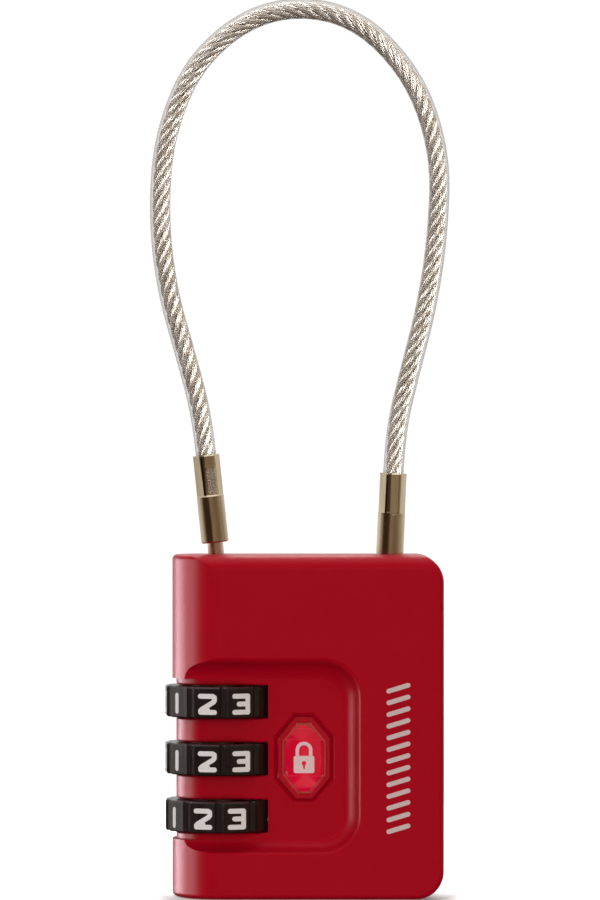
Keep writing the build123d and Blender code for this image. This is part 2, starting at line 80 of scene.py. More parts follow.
# ------------------------------------------------------------------ material helpers
class Mat:
    """A small wrapper that builds one procedural material."""

    def __init__(self, name):
        self.m = bpy.data.materials.new(name)
        self.m.use_nodes = True
        self.t = self.m.node_tree
        self.p = self.t.nodes["Principled BSDF"]
        self.out = self.t.nodes["Material Output"]
        self.co = self.t.nodes.new("ShaderNodeTexCoord").outputs["Object"]

    def set(self, **kw):
        for k, v in kw.items():
            self.p.inputs[k.replace("_", " ")].default_value = v
        return self

    def link(self, a, b):
        self.t.links.new(a, b)

    def mapped(self, scale=(1, 1, 1), loc=(0, 0, 0), rot=(0, 0, 0)):
        n = self.t.nodes.new("ShaderNodeMapping")
        n.inputs["Scale"].default_value = scale
        n.inputs["Location"].default_value = loc
        n.inputs["Rotation"].default_value = rot
        self.link(self.co, n.inputs["Vector"])
        return n.outputs["Vector"]

    def noise(self, scale, detail=2.0, rough=0.5, vec=None, distortion=0.0):
        n = self.t.nodes.new("ShaderNodeTexNoise")
        n.inputs["Scale"].default_value = scale
        n.inputs["Detail"].default_value = detail
        n.inputs["Roughness"].default_value = rough
        n.inputs["Distortion"].default_value = distortion
        self.link(vec if vec is not None else self.co, n.inputs["Vector"])
        return n.outputs["Fac"]

    def voronoi(self, scale, vec=None, feature="F1"):
        n = self.t.nodes.new("ShaderNodeTexVoronoi")
        n.feature = feature
        n.inputs["Scale"].default_value = scale
        self.link(vec if vec is not None else self.co, n.inputs["Vector"])
        return n.outputs["Distance"]

    def ramp(self, fac, stops, interp="LINEAR"):
        n = self.t.nodes.new("ShaderNodeValToRGB")
        n.color_ramp.interpolation = interp
        e = n.color_ramp.elements
        while len(e) < len(stops):
            e.new(0.5)
        for i, (pos, col) in enumerate(stops):
            e[i].position = pos
            e[i].color = col if len(col) == 4 else (*col, 1.0)
        self.link(fac, n.inputs["Fac"])
        return n.outputs["Color"]

    def math(self, op, a, b=None, clamp=False):
        n = self.t.nodes.new("ShaderNodeMath")
        n.operation = op
        n.use_clamp = clamp
        for i, v in enumerate((a, b)):
            if v is None:
                continue
            if isinstance(v, (int, float)):
                n.inputs[i].default_value = v
            else:
                self.link(v, n.inputs[i])
        return n.outputs[0]

    def remap(self, v, a, b, c, d, smooth=False):
        n = self.t.nodes.new("ShaderNodeMapRange")
        n.interpolation_type = "SMOOTHSTEP" if smooth else "LINEAR"
        for i, x in zip(("From Min", "From Max", "To Min", "To Max"), (a, b, c, d)):
            n.inputs[i].default_value = x
        self.link(v, n.inputs["Value"])
        return n.outputs["Result"]

    def xyz(self, vec=None):
        n = self.t.nodes.new("ShaderNodeSeparateXYZ")
        self.link(vec if vec is not None else self.co, n.inputs[0])
        return n.outputs

    def mix(self, fac, a, b):
        n = self.t.nodes.new("ShaderNodeMix")
        n.data_type = "RGBA"
        ins = {"fac": n.inputs[0], "a": n.inputs[6], "b": n.inputs[7]}
        for k, v in (("fac", fac), ("a", a), ("b", b)):
            if isinstance(v, tuple):
                ins[k].default_value = v if len(v) == 4 else (*v, 1.0)
            elif isinstance(v, (int, float)):
                ins[k].default_value = v
            else:
                self.link(v, ins[k])
        return n.outputs[2]

    def bump(self, height, strength, distance, normal=None):
        n = self.t.nodes.new("ShaderNodeBump")
        n.inputs["Strength"].default_value = strength
        n.inputs["Distance"].default_value = distance
        self.link(height, n.inputs["Height"])
        if normal is not None:
            self.link(normal, n.inputs["Normal"])
        return n.outputs["Normal"]

    def color(self, out):
        self.link(out, self.p.inputs["Base Color"])
        return self

    def rough(self, out):
        self.link(out, self.p.inputs["Roughness"])
        return self

    def normal(self, out):
        self.link(out, self.p.inputs["Normal"])
        return self


def assign(obj, mat):
    obj.data.materials.clear()
    obj.data.materials.append(mat.m if isinstance(mat, Mat) else mat)
    for poly in obj.data.polygons:
        poly.material_index = 0


# satin red coating with a very fine grain, like a powder-textured lacquer
def red_paint(name, base=(0.440, 0.0007, 0.0118)):
    m = Mat(name)
    m.set(Metallic=0.0, Specular_IOR_Level=0.14, Sheen_Weight=0.04, Sheen_Roughness=0.30)
    m.p.inputs["IOR"].default_value = 1.5
    grain = m.noise(7200, 3.0, 0.62)
    cloud = m.noise(260, 2.0, 0.5)
    g = m.math("ADD", m.math("MULTIPLY", grain, 0.72), m.math("MULTIPLY", cloud, 0.28))
    dark = tuple(c * 0.90 for c in base)
    light = (base[0] * 1.07, base[1] * 1.45, base[2] * 1.35)
    m.color(m.ramp(g, [(0.30, dark), (0.52, base), (0.74, light)]))
    m.rough(m.remap(grain, 0.25, 0.75, 0.33, 0.43))
    n = m.bump(grain, 0.16, 0.000010)
    m.normal(m.bump(cloud, 0.05, 0.00004, n))
    return m


def dial_plastic(name):
    m = Mat(name)
    m.set(Metallic=0.0, Specular_IOR_Level=0.42)
    m.p.inputs["IOR"].default_value = 1.5
    fine = m.noise(5200, 3.0, 0.55)
    streak = m.noise(900, 2.0, 0.5, m.mapped((1.0, 1.0, 0.12)))
    m.color(m.ramp(fine, [(0.30, (0.0110, 0.0062, 0.0056)), (0.55, (0.0150, 0.0085, 0.0078)), (0.80, (0.021, 0.0130, 0.0120))]))
    m.rough(m.remap(streak, 0.3, 0.7, 0.24, 0.36))
    m.normal(m.bump(fine, 0.10, 0.000008))
    return m


def paint_white(name, col=(0.90, 0.86, 0.86), rough=(0.42, 0.55), scale=6000):
    m = Mat(name)
    m.set(Metallic=0.0, Specular_IOR_Level=0.4)
    fine = m.noise(scale, 3.0, 0.6)
    dark = tuple(c * 0.88 for c in col)
    m.color(m.ramp(fine, [(0.30, dark), (0.70, col)]))
    m.rough(m.remap(fine, 0.3, 0.7, *rough))
    m.normal(m.bump(fine, 0.12, 0.000006))
    return m


def plated(name, col=(0.60, 0.57, 0.53), rough=(0.20, 0.34), grain=(1, 1, 1), scale=3000, bump=0.06, tint=0.78):
    m = Mat(name)
    m.set(Metallic=1.0)
    fine = m.noise(scale, 3.0, 0.6, m.mapped(grain))
    cloud = m.noise(420, 2.0, 0.5)
    m.color(m.mix(m.remap(cloud, 0.35, 0.65, 0.0, 1.0), tuple(c * tint for c in col), col))
    m.rough(m.remap(fine, 0.3, 0.7, *rough))
    m.normal(m.bump(fine, bump, 0.00001))
    return m


def cast_zinc(name):
    m = Mat(name)
    m.set(Metallic=1.0)
    v = m.voronoi(1600)
    fine = m.noise(4200, 3.0, 0.6)
    m.color(m.ramp(v, [(0.1, (0.34, 0.345, 0.36)), (0.6, (0.46, 0.46, 0.47))]))
    m.rough(m.remap(fine, 0.3, 0.7, 0.42, 0.58))
    m.normal(m.bump(fine, 0.2, 0.00002))
    return m


# brass-tinted nickel of the ferrules: drawn length-wise, with the crimp's tool marks; the colour also carries a painted
# dark reflection down the pressed crease and painted highlights on the hammered patch and in the slot
def ferrule_metal(name, lean, wedge, rim, step=None, patch=None, slot=None):
    m = Mat(name)
    m.set(Metallic=1.0)
    draw = m.noise(2600, 3.0, 0.6, m.mapped((1.0, 1.0, 0.035)))
    soft = m.noise(750, 2.0, 0.5, m.mapped((1.0, 1.0, 0.25)))
    pit = m.noise(5200, 3.0, 0.65)
    base = m.mix(m.remap(soft, 0.35, 0.65, 0.0, 1.0), (0.53, 0.420, 0.290), (0.65, 0.545, 0.405))
    base = m.mix(m.math("MULTIPLY", m.remap(draw, 0.56, 0.72, 0.0, 1.0), 0.35), base, (0.80, 0.69, 0.54))
    xyz = m.xyz()
    u = m.math("ADD", xyz["X"], m.math("MULTIPLY", xyz["Z"], lean))   # across the leaning ferrule
    up = m.math("SUBTRACT", xyz["Z"], m.math("MULTIPLY", xyz["X"], lean))   # along it
    front = m.remap(xyz["Y"], -0.0004, 0.0, 1, 0, True)
    # a painted dark reflection: the front of the pressed crease is coloured near black-brown
    (z0, l0, r0), (z1, l1, r1) = wedge
    left = m.remap(xyz["Z"], z0, z1, l0, l1)
    right = m.remap(xyz["Z"], z0, z1, r0, r1)
    fold_painted_reflection = m.math("MULTIPLY", m.remap(m.math("SUBTRACT", u, left), -0.00003, 0.00003, 0, 1, True),
                  m.remap(m.math("SUBTRACT", u, right), -0.00003, 0.00003, 1, 0, True))
    fold_painted_reflection = m.math("MULTIPLY", m.math("MULTIPLY", fold_painted_reflection, m.remap(xyz["Z"], z0 - 0.00004, z0 + 0.00004, 0, 1, True)), front)
    n = m.bump(draw, 0.16, 0.00002)
    n = m.bump(pit, 0.10, 0.000008, n)
    # bevels that catch the light from above: the mouth and the crimp's shoulder
    n = m.bump(m.remap(up, rim, rim + 0.00016, 0.00014, 0.0), 1.0, 1.0, n)
    if step is not None:
        n = m.bump(m.remap(up, step, step + 0.00020, 0.00016, 0.0), 1.0, 1.0, n)
    rough = m.remap(draw, 0.3, 0.7, 0.17, 0.29)
    if patch is not None:
        x0, x1, z0, z1 = patch
        inside = m.math("MULTIPLY", m.math("MULTIPLY", m.remap(u, x0, x0 + 0.00012, 0, 1, True), m.remap(u, x1 - 0.00012, x1, 1, 0, True)),
                        m.math("MULTIPLY", m.remap(xyz["Z"], z0, z0 + 0.00015, 0, 1, True), m.remap(xyz["Z"], z1 - 0.0016, z1, 1, 0, True)))
        inside = m.math("MULTIPLY", inside, front)
        dents = m.noise(5200, 3.0, 0.7, distortion=0.3)
        n = m.bump(m.math("MULTIPLY", dents, inside), 1.0, 0.00030, n)
        # the hammered patch is mixed towards pale gold: a painted highlight; its dents are real bumps
        base = m.mix(m.math("MULTIPLY", inside, 0.85), base, (1.0, 0.93, 0.76))
        rough = m.math("ADD", rough, m.math("MULTIPLY", inside, 0.14))
    if slot is not None:
        uc, zc, r = slot
        du = m.math("SUBTRACT", u, uc)
        dz = m.math("MINIMUM", m.math("SUBTRACT", xyz["Z"], zc), 0.0)
        d = m.math("SQRT", m.math("ADD", m.math("MULTIPLY", du, du), m.math("MULTIPLY", dz, dz)))
        n = m.bump(m.math("MULTIPLY", m.remap(d, r - 0.00012, r, 0.0, 0.00006), front), 1.0, 1.0, n)
        # the inside of the slot is mixed towards a paler gold: a painted highlight on its facet
        base = m.mix(m.math("MULTIPLY", m.remap(d, r - 0.00008, r, 0.5, 0.0), front), base, (0.74, 0.66, 0.50))
    # the crease's painted dark reflection is mixed into the colour here
    m.color(m.mix(m.math("MULTIPLY", fold_painted_reflection, 0.86), base, (0.085, 0.052, 0.024)))
    m.rough(rough)
    m.normal(n)
    return m


def steel_wire(name):
    m = Mat(name)
    m.set(Metallic=0.74, Specular_IOR_Level=0.8)
    fine = m.noise(3000, 3.0, 0.6)
    cloud = m.noise(600, 2.0, 0.5)
    m.color(m.ramp(cloud, [(0.32, (0.80, 0.73, 0.65)), (0.66, (0.97, 0.93, 0.88))]))
    m.rough(m.remap(fine, 0.3, 0.7, 0.19, 0.31))
    m.normal(m.bump(fine, 0.05, 0.00001))
    return m


# thin clear vinyl: it lets the rope show, turns milky towards its edges and carries a wet gloss
def clear_jacket(name):
    m = Mat(name)
    m.set(Metallic=0.0, Specular_IOR_Level=0.32)
    m.p.inputs["IOR"].default_value = 1.5
    fine = m.noise(700, 2.0, 0.5)
    m.color(m.ramp(fine, [(0.3, (0.46, 0.395, 0.350)), (0.7, (0.53, 0.465, 0.420))]))
    m.rough(m.remap(fine, 0.3, 0.7, 0.05, 0.10))
    m.normal(m.bump(fine, 0.10, 0.00003))
    lw = m.t.nodes.new("ShaderNodeLayerWeight")
    lw.inputs["Blend"].default_value = 0.5
    facing = lw.outputs["Facing"]
    fac = m.ramp(facing, [(0.0, (0.02,) * 3), (0.24, (0.06,) * 3), (0.38, (0.17,) * 3), (0.58, (0.24,) * 3), (0.80, (0.36,) * 3), (1.0, (0.60,) * 3)])
    tr = m.t.nodes.new("ShaderNodeBsdfTransparent")
    mx = m.t.nodes.new("ShaderNodeMixShader")
    m.link(fac, mx.inputs[0])
    m.link(tr.outputs[0], mx.inputs[1])
    m.link(m.p.outputs[0], mx.inputs[2])
    m.link(mx.outputs[0], m.out.inputs["Surface"])
    return m


def enamel(name):
    m = Mat(name)
    m.set(Metallic=0.0, Specular_IOR_Level=0.5, Coat_Weight=0.6, Coat_Roughness=0.08)
    z = m.xyz()["Z"]
    fleck = m.noise(5200, 3.0, 0.6)
    cloud = m.noise(480, 2.0, 0.5)
    # painted shading: the red is lighter low on the badge and darker towards its top, standing in for light on the dome
    f = m.math("ADD", m.remap(z, 0.0115, 0.0212, 0.0, 0.72), m.math("MULTIPLY", cloud, 0.28))
    col = m.ramp(f, [(0.05, (0.98, 0.0012, 0.052)), (0.55, (0.90, 0.0012, 0.042)), (0.95, (0.62, 0.0010, 0.024))])
    m.color(m.mix(m.remap(fleck, 0.45, 0.75, 0.0, 0.16), col, (1.0, 0.02, 0.06)))
    m.rough(m.remap(fleck, 0.3, 0.7, 0.18, 0.28))
    m.normal(m.bump(cloud, 0.04, 0.00002))
    return m


red = red_paint("satin_red_coating")
red_badge = red_paint("badge_rim_red", (0.46, 0.006, 0.016))
black = dial_plastic("dial_black_plastic")
white = paint_white("number_white_paint")
silver = paint_white("printed_pale_silver", (0.74, 0.58, 0.58), (0.34, 0.46), 5200)
pink = paint_white("badge_pale_line", (0.92, 0.66, 0.68), (0.30, 0.40))
gold = plated("badge_thin_outline", (0.72, 0.42, 0.26), (0.25, 0.4))
enam = enamel("badge_enamel_red")
zinc = cast_zinc("raw_cast_zinc")
steel = plated("plated_steel", (0.62, 0.61, 0.60))
spring = plated("spring_steel", (0.50, 0.49, 0.48), (0.16, 0.28), (1, 1, 1), 5200)
brass = plated("key_brass", (0.72, 0.56, 0.30), (0.22, 0.36))
wire = steel_wire("galvanised_wire")
jacket_mat = clear_jacket("clear_vinyl_jacket")
# the rope's core is coloured dark brown as painted shade, so the gaps between the strands read dark
core_painted_shade = plated("rope_core_painted_shade", (0.22, 0.185, 0.15), (0.35, 0.5))
stud_metal = plated("stud_nickel", (0.86, 0.74, 0.60), (0.34, 0.46), (0.2, 0.2, 3.0), 2600, 0.14)
lean_free = math.tan(math.radians(5.97))
lean_fixed = -math.tan(math.radians(2.57))
top_free = 0.051614 + 0.011911 * lean_free
top_fixed = 0.049501 - 0.010082 * lean_fixed
free_metal = ferrule_metal("ferrule_nickel_free", lean_free, ((0.04679, -0.007156, -0.006886), (0.05105, -0.007342, -0.006710)),
                           top_free - 0.00016, 0.04793, (-0.00675, -0.00552, 0.0470, 0.0506))
fixed_metal = ferrule_metal("ferrule_nickel_fixed", lean_fixed, ((0.0450, 0.006999, 0.007631), (0.04939, 0.007187, 0.007579)),
                            top_fixed - 0.00016, None, None, (0.00812, 0.0451, 0.00054))

LOOK = {
    "front_shell": red, "rear_shell": red, "housing_rivets": steel, "badge_plate": red_badge,
    "number_dial_top": black, "number_dial_middle": black, "number_dial_bottom": black,
    "clutch_sleeve_top": zinc, "clutch_sleeve_middle": zinc, "clutch_sleeve_bottom": zinc,
    "spindle": steel, "latch_finger": steel, "spindle_clip": spring, "latch_plate": steel,
    "latch_spring": spring, "detent_spring": spring, "locking_stud": stud_metal,
    "free_ferrule": free_metal, "fixed_ferrule": fixed_metal, "anchor_clip": spring,
    "key_cylinder": zinc, "key_plug": brass, "key_wafers": brass, "key_crank": steel,
    "crank_screw": steel, "reset_button": steel, "reset_spring": spring,
}
for n, m in LOOK.items():
    assign(nodes[n], m)


# ------------------------------------------------------------------ mesh helpers
def add_mesh(name, verts, faces, mat, smooth=True):
    me = bpy.data.meshes.new(name)
    me.from_pydata([tuple(v) for v in verts], [], [tuple(f) for f in faces])
    me.validate()
    me.update()
    ob = bpy.data.objects.new(name, me)
    scene.collection.objects.link(ob)
    assign(ob, mat)
    if smooth:
        me.polygons.foreach_set("use_smooth", [True] * len(me.polygons))
    return ob


def tube_arrays(center, normal, binormal, radius, sides, phase=0.0):
    """Rings of a closed tube; its frames are given, so nothing twists."""
    ang = phase + np.arange(sides) * 2 * math.pi / sides
    c, s = np.cos(ang), np.sin(ang)
    ring = center[:, None, :] + radius * (c[None, :, None] * normal[:, None, :] + s[None, :, None] * binormal[:, None, :])
    return ring.reshape(-1, 3)


def tube_faces(rings, sides, base=0, cap=True):
    out = []
    for i in range(rings - 1):
        for j in range(sides):
            k = (j + 1) % sides
            out.append((base + i * sides + j, base + i * sides + k, base + (i + 1) * sides + k, base + (i + 1) * sides + j))
    if cap:
        out.append(tuple(base + j for j in reversed(range(sides))))
        out.append(tuple(base + (rings - 1) * sides + j for j in range(sides)))
    return out


# ------------------------------------------------------------------ cable
# route points of the cable, metres, in the plane y = 0
ROUTE = [(-0.011911, 0, 0.051614), (-0.01240, 0, 0.05630), (-0.01420, 0, 0.06300), (-0.01655, 0, 0.07120), (-0.01750, 0, 0.0800),
         (-0.01680, 0, 0.0894), (-0.01297, 0, 0.0984), (-0.0049, 0, 0.10425), (0.00487, 0, 0.10372), (0.01226, 0, 0.0967),
         (0.01563, 0, 0.0872), (0.01530, 0, 0.0775), (0.01400, 0, 0.0690), (0.01190, 0, 0.0610), (0.01030, 0, 0.0543),
         (0.010082, 0, 0.049501)]
cu = bpy.data.curves.new("cable_route", "CURVE")
cu.dimensions = "3D"
cu.resolution_u = 26
sp = cu.splines.new("NURBS")
sp.points.add(len(ROUTE) - 1)
for p, q in zip(sp.points, ROUTE):
    p.co = (*q, 1.0)
sp.order_u = 3
sp.use_endpoint_u = True
route_ob = bpy.data.objects.new("cable_route", cu)
scene.collection.objects.link(route_ob)
bpy.context.view_layer.update()
route_mesh = bpy.data.meshes.new_from_object(route_ob)
line = np.array([v.co for v in route_mesh.vertices], float).reshape(-1, 3)
bpy.data.objects.remove(route_ob)
bpy.data.meshes.remove(route_mesh)
seg = np.linalg.norm(np.diff(line, axis=0), axis=1)
line = line[np.concatenate([[True], seg > 1e-7])]
arc = np.concatenate([[0], np.cumsum(np.linalg.norm(np.diff(line, axis=0), axis=1))])
CABLE_LENGTH = float(arc[-1])


def along(s):
    """Points, tangents and the two cross directions at the given distances; beyond the ends it runs on straight."""
    s = np.asarray(s, float)
    t0 = (line[1] - line[0]) / np.linalg.norm(line[1] - line[0])
    t1 = (line[-1] - line[-2]) / np.linalg.norm(line[-1] - line[-2])
    inside = np.clip(s, 0, arc[-1])
    p = np.stack([np.interp(inside, arc, line[:, i]) for i in range(3)], 1)
    h = 0.0006
    f = np.stack([np.interp(np.clip(inside + h, 0, arc[-1]), arc, line[:, i]) for i in range(3)], 1)
    g = np.stack([np.interp(np.clip(inside - h, 0, arc[-1]), arc, line[:, i]) for i in range(3)], 1)
    t = f - g
    t /= np.linalg.norm(t, axis=1)[:, None]
    p = p + np.where(s < 0, s, 0)[:, None] * t0 + np.where(s > arc[-1], s - arc[-1], 0)[:, None] * t1
    t = np.where((s <= 0)[:, None], t0, np.where((s >= arc[-1])[:, None], t1, t))
    b = np.tile(np.array([0.0, 1.0, 0.0]), (len(s), 1))
    n = np.cross(b, t)
    n /= np.linalg.norm(n, axis=1)[:, None]
    return p, t, n, b


JR, JR_IN = 1.215 * MM, 1.165 * MM
s_j = np.linspace(0, CABLE_LENGTH, 190)
pj, tj, nj, bj = along(s_j)
SIDES = 40
outer_v = tube_arrays(pj, nj, bj, JR, SIDES)
inner_v = tube_arrays(pj, nj, bj, JR_IN, SIDES)
nr = len(s_j)
faces = tube_faces(nr, SIDES, 0, False)
faces += [tuple(reversed(f)) for f in tube_faces(nr, SIDES, nr * SIDES, False)]
for j in range(SIDES):
    k = (j + 1) % SIDES
    faces.append((k, j, nr * SIDES + j, nr * SIDES + k))
    e = (nr - 1) * SIDES
    faces.append((e + j, e + k, nr * SIDES + e + k, nr * SIDES + e + j))
jacket = add_mesh("clear_jacket_tube", np.concatenate([outer_v, inner_v]), faces, jacket_mat)

# the rope: six right-hand strands of six visible wires round a core, seven by seven construction
STRAND_C, WIRE_C, WIRE_R = 0.700 * MM, 0.205 * MM, 0.122 * MM
LAY, WIRE_LAY = 9.9 * MM, 4.6 * MM
IN_END = 4.85 * MM
s_w = np.linspace(-IN_END, CABLE_LENGTH + IN_END, 470)
pw, tw, nw, bw = along(s_w)
# the rope lies against the inside of the bend within its jacket, and is centred at the two mouths
ease = np.clip(np.minimum(s_w, CABLE_LENGTH - s_w) / 0.010, 0, 1)
ease = ease * ease * (3 - 2 * ease)
sx = np.sign(np.einsum("ij,ij->i", np.array([-0.0009, 0.0, 0.080]) - pw, nw))
pw = pw + (0.12 * MM * ease * sx)[:, None] * nw
# it is pinched a little where it enters each ferrule
slim = (0.89 + 0.11 * ease)[:, None]
verts, wfaces = [], []
WS = 5
count = 0
for i in range(6):
    th = 2 * math.pi * (i / 6 + s_w / LAY)
    cs, sn = np.cos(th)[:, None], np.sin(th)[:, None]
    center = pw + slim * STRAND_C * (cs * nw + sn * bw)
    d = np.gradient(center, axis=0)
    d /= np.linalg.norm(d, axis=1)[:, None]
    u = cs * nw + sn * bw
    u = u - np.einsum("ij,ij->i", u, d)[:, None] * d
    u /= np.linalg.norm(u, axis=1)[:, None]
    v = np.cross(d, u)
    for j in range(6):
        ps = 2 * math.pi * (j / 6 - s_w / WIRE_LAY) + 0.35 * i
        wc = center + slim * WIRE_C * (np.cos(ps)[:, None] * u + np.sin(ps)[:, None] * v)
        verts.append(tube_arrays(wc, u, v, WIRE_R, WS, 0.3 * j))
        wfaces += tube_faces(len(s_w), WS, count)
        count += len(s_w) * WS
core_s = s_w[::3]
pc = pw[::3]
verts.append(tube_arrays(pc, nw[::3], bw[::3], 0.44 * MM, 12))
wfaces += tube_faces(len(pc), 12, count)
strand_faces = len(wfaces) - len(tube_faces(len(pc), 12, 0))
rope = add_mesh("wire_rope_strands", np.concatenate(verts), wfaces, wire)
# the core faces take the dark painted-shade colour
rope.data.materials.append(core_painted_shade.m)
for poly in list(rope.data.polygons)[strand_faces:]:
    poly.material_index = 1

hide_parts("cable_jacket")
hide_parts("wire_rope")
for ob in (jacket, rope):
    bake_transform(ob)


# ------------------------------------------------------------------ flat shapes with clean outlines
def contour_plate(f, x0, x1, y0, y1, step, z_lo, z_hi):
    """A plate whose outline is the zero line of f (negative inside), as a closed mesh."""
    xs = np.arange(x0, x1 + step * 0.5, step)
    ys = np.arange(y0, y1 + step * 0.5, step)
    gx, gy = np.meshgrid(xs, ys, indexing="ij")
    val = f(gx, gy)
    val = np.where(np.abs(val) < 1e-6, 1e-6, val)
    pts, key = [], {}

    def vert(k, p):
        if k not in key:
            key[k] = len(pts)
            pts.append(p)
        return key[k]

    cells = []
    nx, ny = val.shape
    neg = val < 0
    any_neg = neg[:-1, :-1] | neg[1:, :-1] | neg[1:, 1:] | neg[:-1, 1:]
    for i, j in zip(*np.nonzero(any_neg)):
        corner = [(i, j), (i + 1, j), (i + 1, j + 1), (i, j + 1)]
        poly = []
        for c in range(4):
            p, q = corner[c], corner[(c + 1) % 4]
            a, b = val[p], val[q]
            if a < 0:
                poly.append(vert(("v", *p), (xs[p[0]], ys[p[1]])))
            if (a < 0) != (b < 0):
                t = a / (a - b)
                lo, hi = (p, q) if p < q else (q, p)
                poly.append(vert(("e", *lo, *hi), (xs[p[0]] + t * (xs[q[0]] - xs[p[0]]), ys[p[1]] + t * (ys[q[1]] - ys[p[1]]))))
        if len(poly) >= 3:
            cells.append(poly)
    n = len(pts)
    edge = {}
    for poly in cells:
        for p, q in zip(poly, poly[1:] + poly[:1]):
            edge[(p, q)] = edge.get((p, q), 0) + 1
    sides = [(p, q) for (p, q) in edge if (q, p) not in edge]
    verts = [(x, y, z_hi) for x, y in pts] + [(x, y, z_lo) for x, y in pts]
    faces = [tuple(c) for c in cells] + [tuple(n + v for v in reversed(c)) for c in cells]
    faces += [(q, p, n + p, n + q) for p, q in sides]
    bm = bmesh.new()
    bv = [bm.verts.new(v) for v in verts]
    for fc in faces:
        try:
            bm.faces.new([bv[v] for v in fc])
        except ValueError:
            pass
    bmesh.ops.remove_doubles(bm, verts=bm.verts, dist=1e-6)
    bmesh.ops.dissolve_limit(bm, angle_limit=math.radians(0.5), verts=bm.verts, edges=bm.edges)
    bmesh.ops.triangulate(bm, faces=[fc for fc in bm.faces if len(fc.verts) > 4])
    bmesh.ops.recalc_face_normals(bm, faces=bm.faces)
    me = bpy.data.meshes.new("plate")
    bm.to_mesh(me)
    bm.free()
    return me


def seg_dist(x, y, a, b):
    ax, ay, bx, by = *a, *b
    dx, dy = bx - ax, by - ay
    t = np.clip(((x - ax) * dx + (y - ay) * dy) / (dx * dx + dy * dy + 1e-12), 0, 1)
    return np.hypot(x - ax - t * dx, y - ay - t * dy)


def strokes(lines, half):
    def f(x, y):
        d = None
        for ln in lines:
            for p, q in zip(ln, ln[1:]):
                e = seg_dist(x, y, p, q)
                d = e if d is None else np.minimum(d, e)
        return d - half
    return f


W, H = 0.85, 0.93
GLYPH = {
    0: [[(-W, H), (W, H), (W, -H), (-W, -H), (-W, H)]],
    1: [[(0, H), (0, -H)]],
    2: [[(-W, H), (0.62, H), (0.84, 0.80), (0.84, 0.44), (0.70, 0.24), (-0.62, -0.56), (-0.80, -0.74), (-0.80, -H), (W, -H)],
        [(-0.62, -0.70), (0.0, -0.62)]],
    3: [[(-W, H), (0.80, H), (0.80, -H), (-W, -H)], [(-0.30, 0.02), (0.80, 0.02)]],
    4: [[(-0.26, H), (-0.50, -0.34), (0.58, -0.34)], [(0.30, 0.25), (0.30, -H)]],
    5: [[(W, H), (-W, H), (-W, 0.04), (0.78, 0.04), (0.78, -H), (-W, -H)]],
    6: [[(W, H), (-W, H), (-W, -H), (W, -H), (W, 0.02), (-W, 0.02)]],
    7: [[(-W, H), (W, H), (0.70, 0.55), (-0.10, -H)]],
    8: [[(-W, H), (W, H), (W, -H), (-W, -H), (-W, H)], [(-W, 0.02), (W, 0.02)]],
    9: [[(W, -0.02), (-W, -0.02), (-W, H), (W, H), (W, -H), (-W, -H)]],
}
HALF = 0.285
glyph_mesh = {}
for k, ln in GLYPH.items():
    glyph_mesh[k] = contour_plate(strokes(ln, HALF), -1.30, 1.30, -1.36, 1.36, 0.04, -0.015, 0.018)

DIAL_FLAT = 6.40
DIAL_Z = {"top": 22.87, "middle": 16.21, "bottom": 9.55}
DIAL_X = -10.20
THREE = {"top": 23.2, "middle": 23.2, "bottom": 18.4}
for name, z in DIAL_Z.items():
    verts, faces, base = [], [], 0
    for k in range(10):
        a = math.radians(THREE[name] + 36 * (k - 3))
        out = Vector((math.sin(a), -math.cos(a), 0))
        right = Vector((math.cos(a), math.sin(a), 0))
        shift = {1: -0.28, 4: 1.40}.get(k, 0.0)
        origin = Vector((DIAL_X, 0, z - 0.14)) + out * DIAL_FLAT + right * shift
        me = glyph_mesh[k]
        for v in me.vertices:
            verts.append((origin + right * v.co.x + Vector((0, 0, v.co.y)) + out * v.co.z) * MM)
        faces += [tuple(base + i for i in p.vertices) for p in me.polygons]
        base += len(me.vertices)
    digits = add_mesh("dial_numbers_" + name, verts, faces, white, smooth=False)
    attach(digits, "dial_" + name)


def on_front(me, cx, cz, y, name, mat, smooth=False):
    """Puts a flat plate drawn in millimetres on a plane that faces the front."""
    verts = [((cx + v.co.x) * MM, (y - v.co.z) * MM, (cz + v.co.y) * MM) for v in me.vertices]
    ob = add_mesh(name, verts, [tuple(p.vertices) for p in me.polygons], mat, smooth)
    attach(ob, "housing")
    return ob


def octa(x, y, w, h, cx, cy):
    """Signed distance, near enough, to an octagon of that width and height with its corners cut."""
    ax, ay = np.abs(x), np.abs(y)
    ln = math.hypot(cx, cy)
    cut = ((ax - (w / 2 - cx)) * cy + (ay - h / 2) * cx) / ln
    return np.maximum(np.maximum(ax - w / 2, ay - h / 2), cut)


# ------------------------------------------------------------------ badge: domed enamel with a plain padlock sign
BX, BZ = -0.41, 16.34
EW, EH, ECX, ECZ = 6.17 - 0.90, 9.55 - 1.05, 1.86, 2.22
me = contour_plate(lambda x, y: octa(x, y, EW - 0.04, EH - 0.04, ECX, ECZ), -3.2, 3.2, -4.8, 4.8, 0.2, 0.0, 0.07)
bm = bmesh.new()
bm.from_mesh(me)
bmesh.ops.subdivide_edges(bm, edges=bm.edges, cuts=1)
for v in bm.verts:
    if v.co.z > 0.03:
        d = -float(octa(np.array(v.co.x), np.array(v.co.y), EW, EH, ECX, ECZ))
        v.co.z = 0.055 + 0.045 * (1 - math.exp(-max(d, 0) / 0.35))
bm.to_mesh(me)
bm.free()
on_front(me, BX, BZ, -3.80, "badge_enamel_fill", enam, True)

TOP = -3.80 - 0.100
me = contour_plate(lambda x, y: np.abs(octa(x, y, EW - 0.42, EH - 0.46, ECX - 0.06, ECZ - 0.08)) - 0.055, -3.2, 3.2, -4.8, 4.8, 0.045, -0.03, 0.012)
on_front(me, BX, BZ, TOP, "badge_outline", gold)


